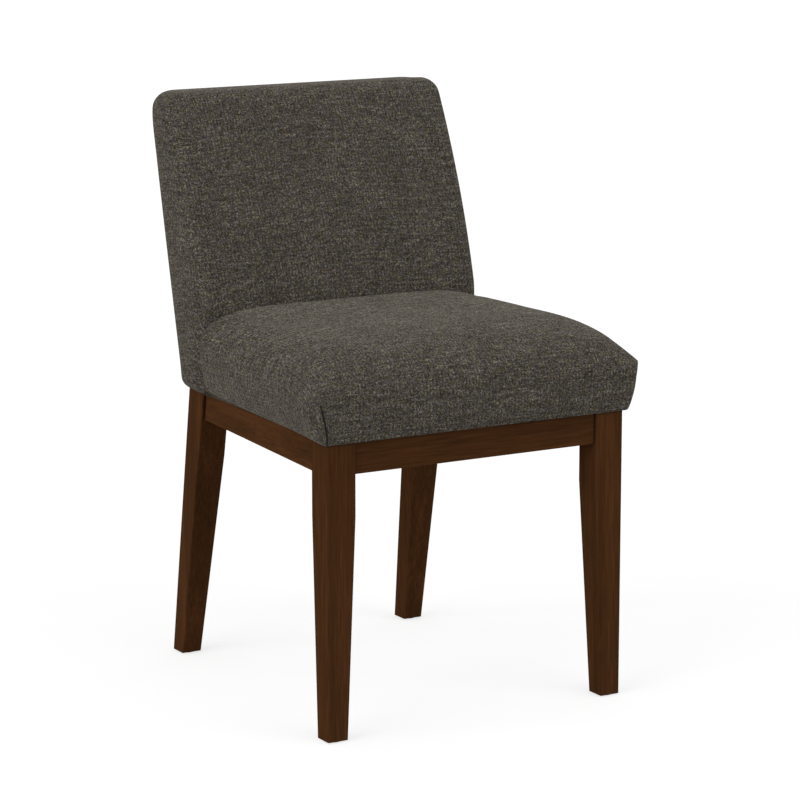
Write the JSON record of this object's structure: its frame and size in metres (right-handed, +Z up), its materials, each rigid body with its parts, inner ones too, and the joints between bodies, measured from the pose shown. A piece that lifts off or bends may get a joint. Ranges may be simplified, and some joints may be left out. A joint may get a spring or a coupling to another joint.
{
  "type": "upholstered dining chair",
  "caption": "Dining chair with a crowned upholstered seat and leaning upholstered back on a wooden base with tapered legs and rails.",
  "frame": {"origin": "on the floor, under the middle of the chair's overall width and depth", "axes": "+Z up, -Y to the front where the sitter's legs go, +X to the right of someone who looks at the front"},
  "size_m": [0.525, 0.5766, 0.838],
  "materials": {
    "walnut_wood": "walnut stain under satin lacquer",
    "block_wood": "planed and unfinished",
    "glide_plastic": "moulded",
    "zinc_steel": "zinc plated",
    "webbing": "woven jute",
    "foam": "cut foam",
    "batting": "fibre wadding",
    "charcoal_weave": "heathered coarse weave",
    "dust_cloth": "thin non-woven cloth"
  },
  "bodies": {
    "root": {"back_batting": "batting", "back_cover": "charcoal_weave", "back_foam": "foam", "back_lumbar_rail": "block_wood", "back_post_left": "block_wood", "back_post_right": "block_wood", "back_rear_pad": "batting", "back_top_rail": "block_wood", "back_webbing": "webbing", "base_dowels": "block_wood", "corner_block_screws": "zinc_steel", "dust_cover": "dust_cloth", "dust_cover_staples": "zinc_steel", "frame_dowels": "block_wood", "front_corner_block_left": "block_wood", "front_corner_block_right": "block_wood", "front_foot_glide_left": "glide_plastic", "front_foot_glide_right": "glide_plastic", "front_leg_left": "walnut_wood", "front_leg_right": "walnut_wood", "front_rail": "walnut_wood", "outside_back_cover": "charcoal_weave", "rear_corner_block_left": "block_wood", "rear_corner_block_right": "block_wood", "rear_foot_glide_left": "glide_plastic", "rear_foot_glide_right": "glide_plastic", "rear_leg_left": "walnut_wood", "rear_leg_right": "walnut_wood", "rear_rail": "walnut_wood", "seat_batting": "batting", "seat_bolt_washers": "zinc_steel", "seat_bolts": "zinc_steel", "seat_cover": "charcoal_weave", "seat_foam": "foam", "seat_frame_front": "block_wood", "seat_frame_left": "block_wood", "seat_frame_rear": "block_wood", "seat_frame_right": "block_wood", "seat_webbing_crosswise": "webbing", "seat_webbing_lengthwise": "webbing", "side_rail_left": "walnut_wood", "side_rail_right": "walnut_wood", "tee_nuts": "zinc_steel"}
  },
  "joints": []
}
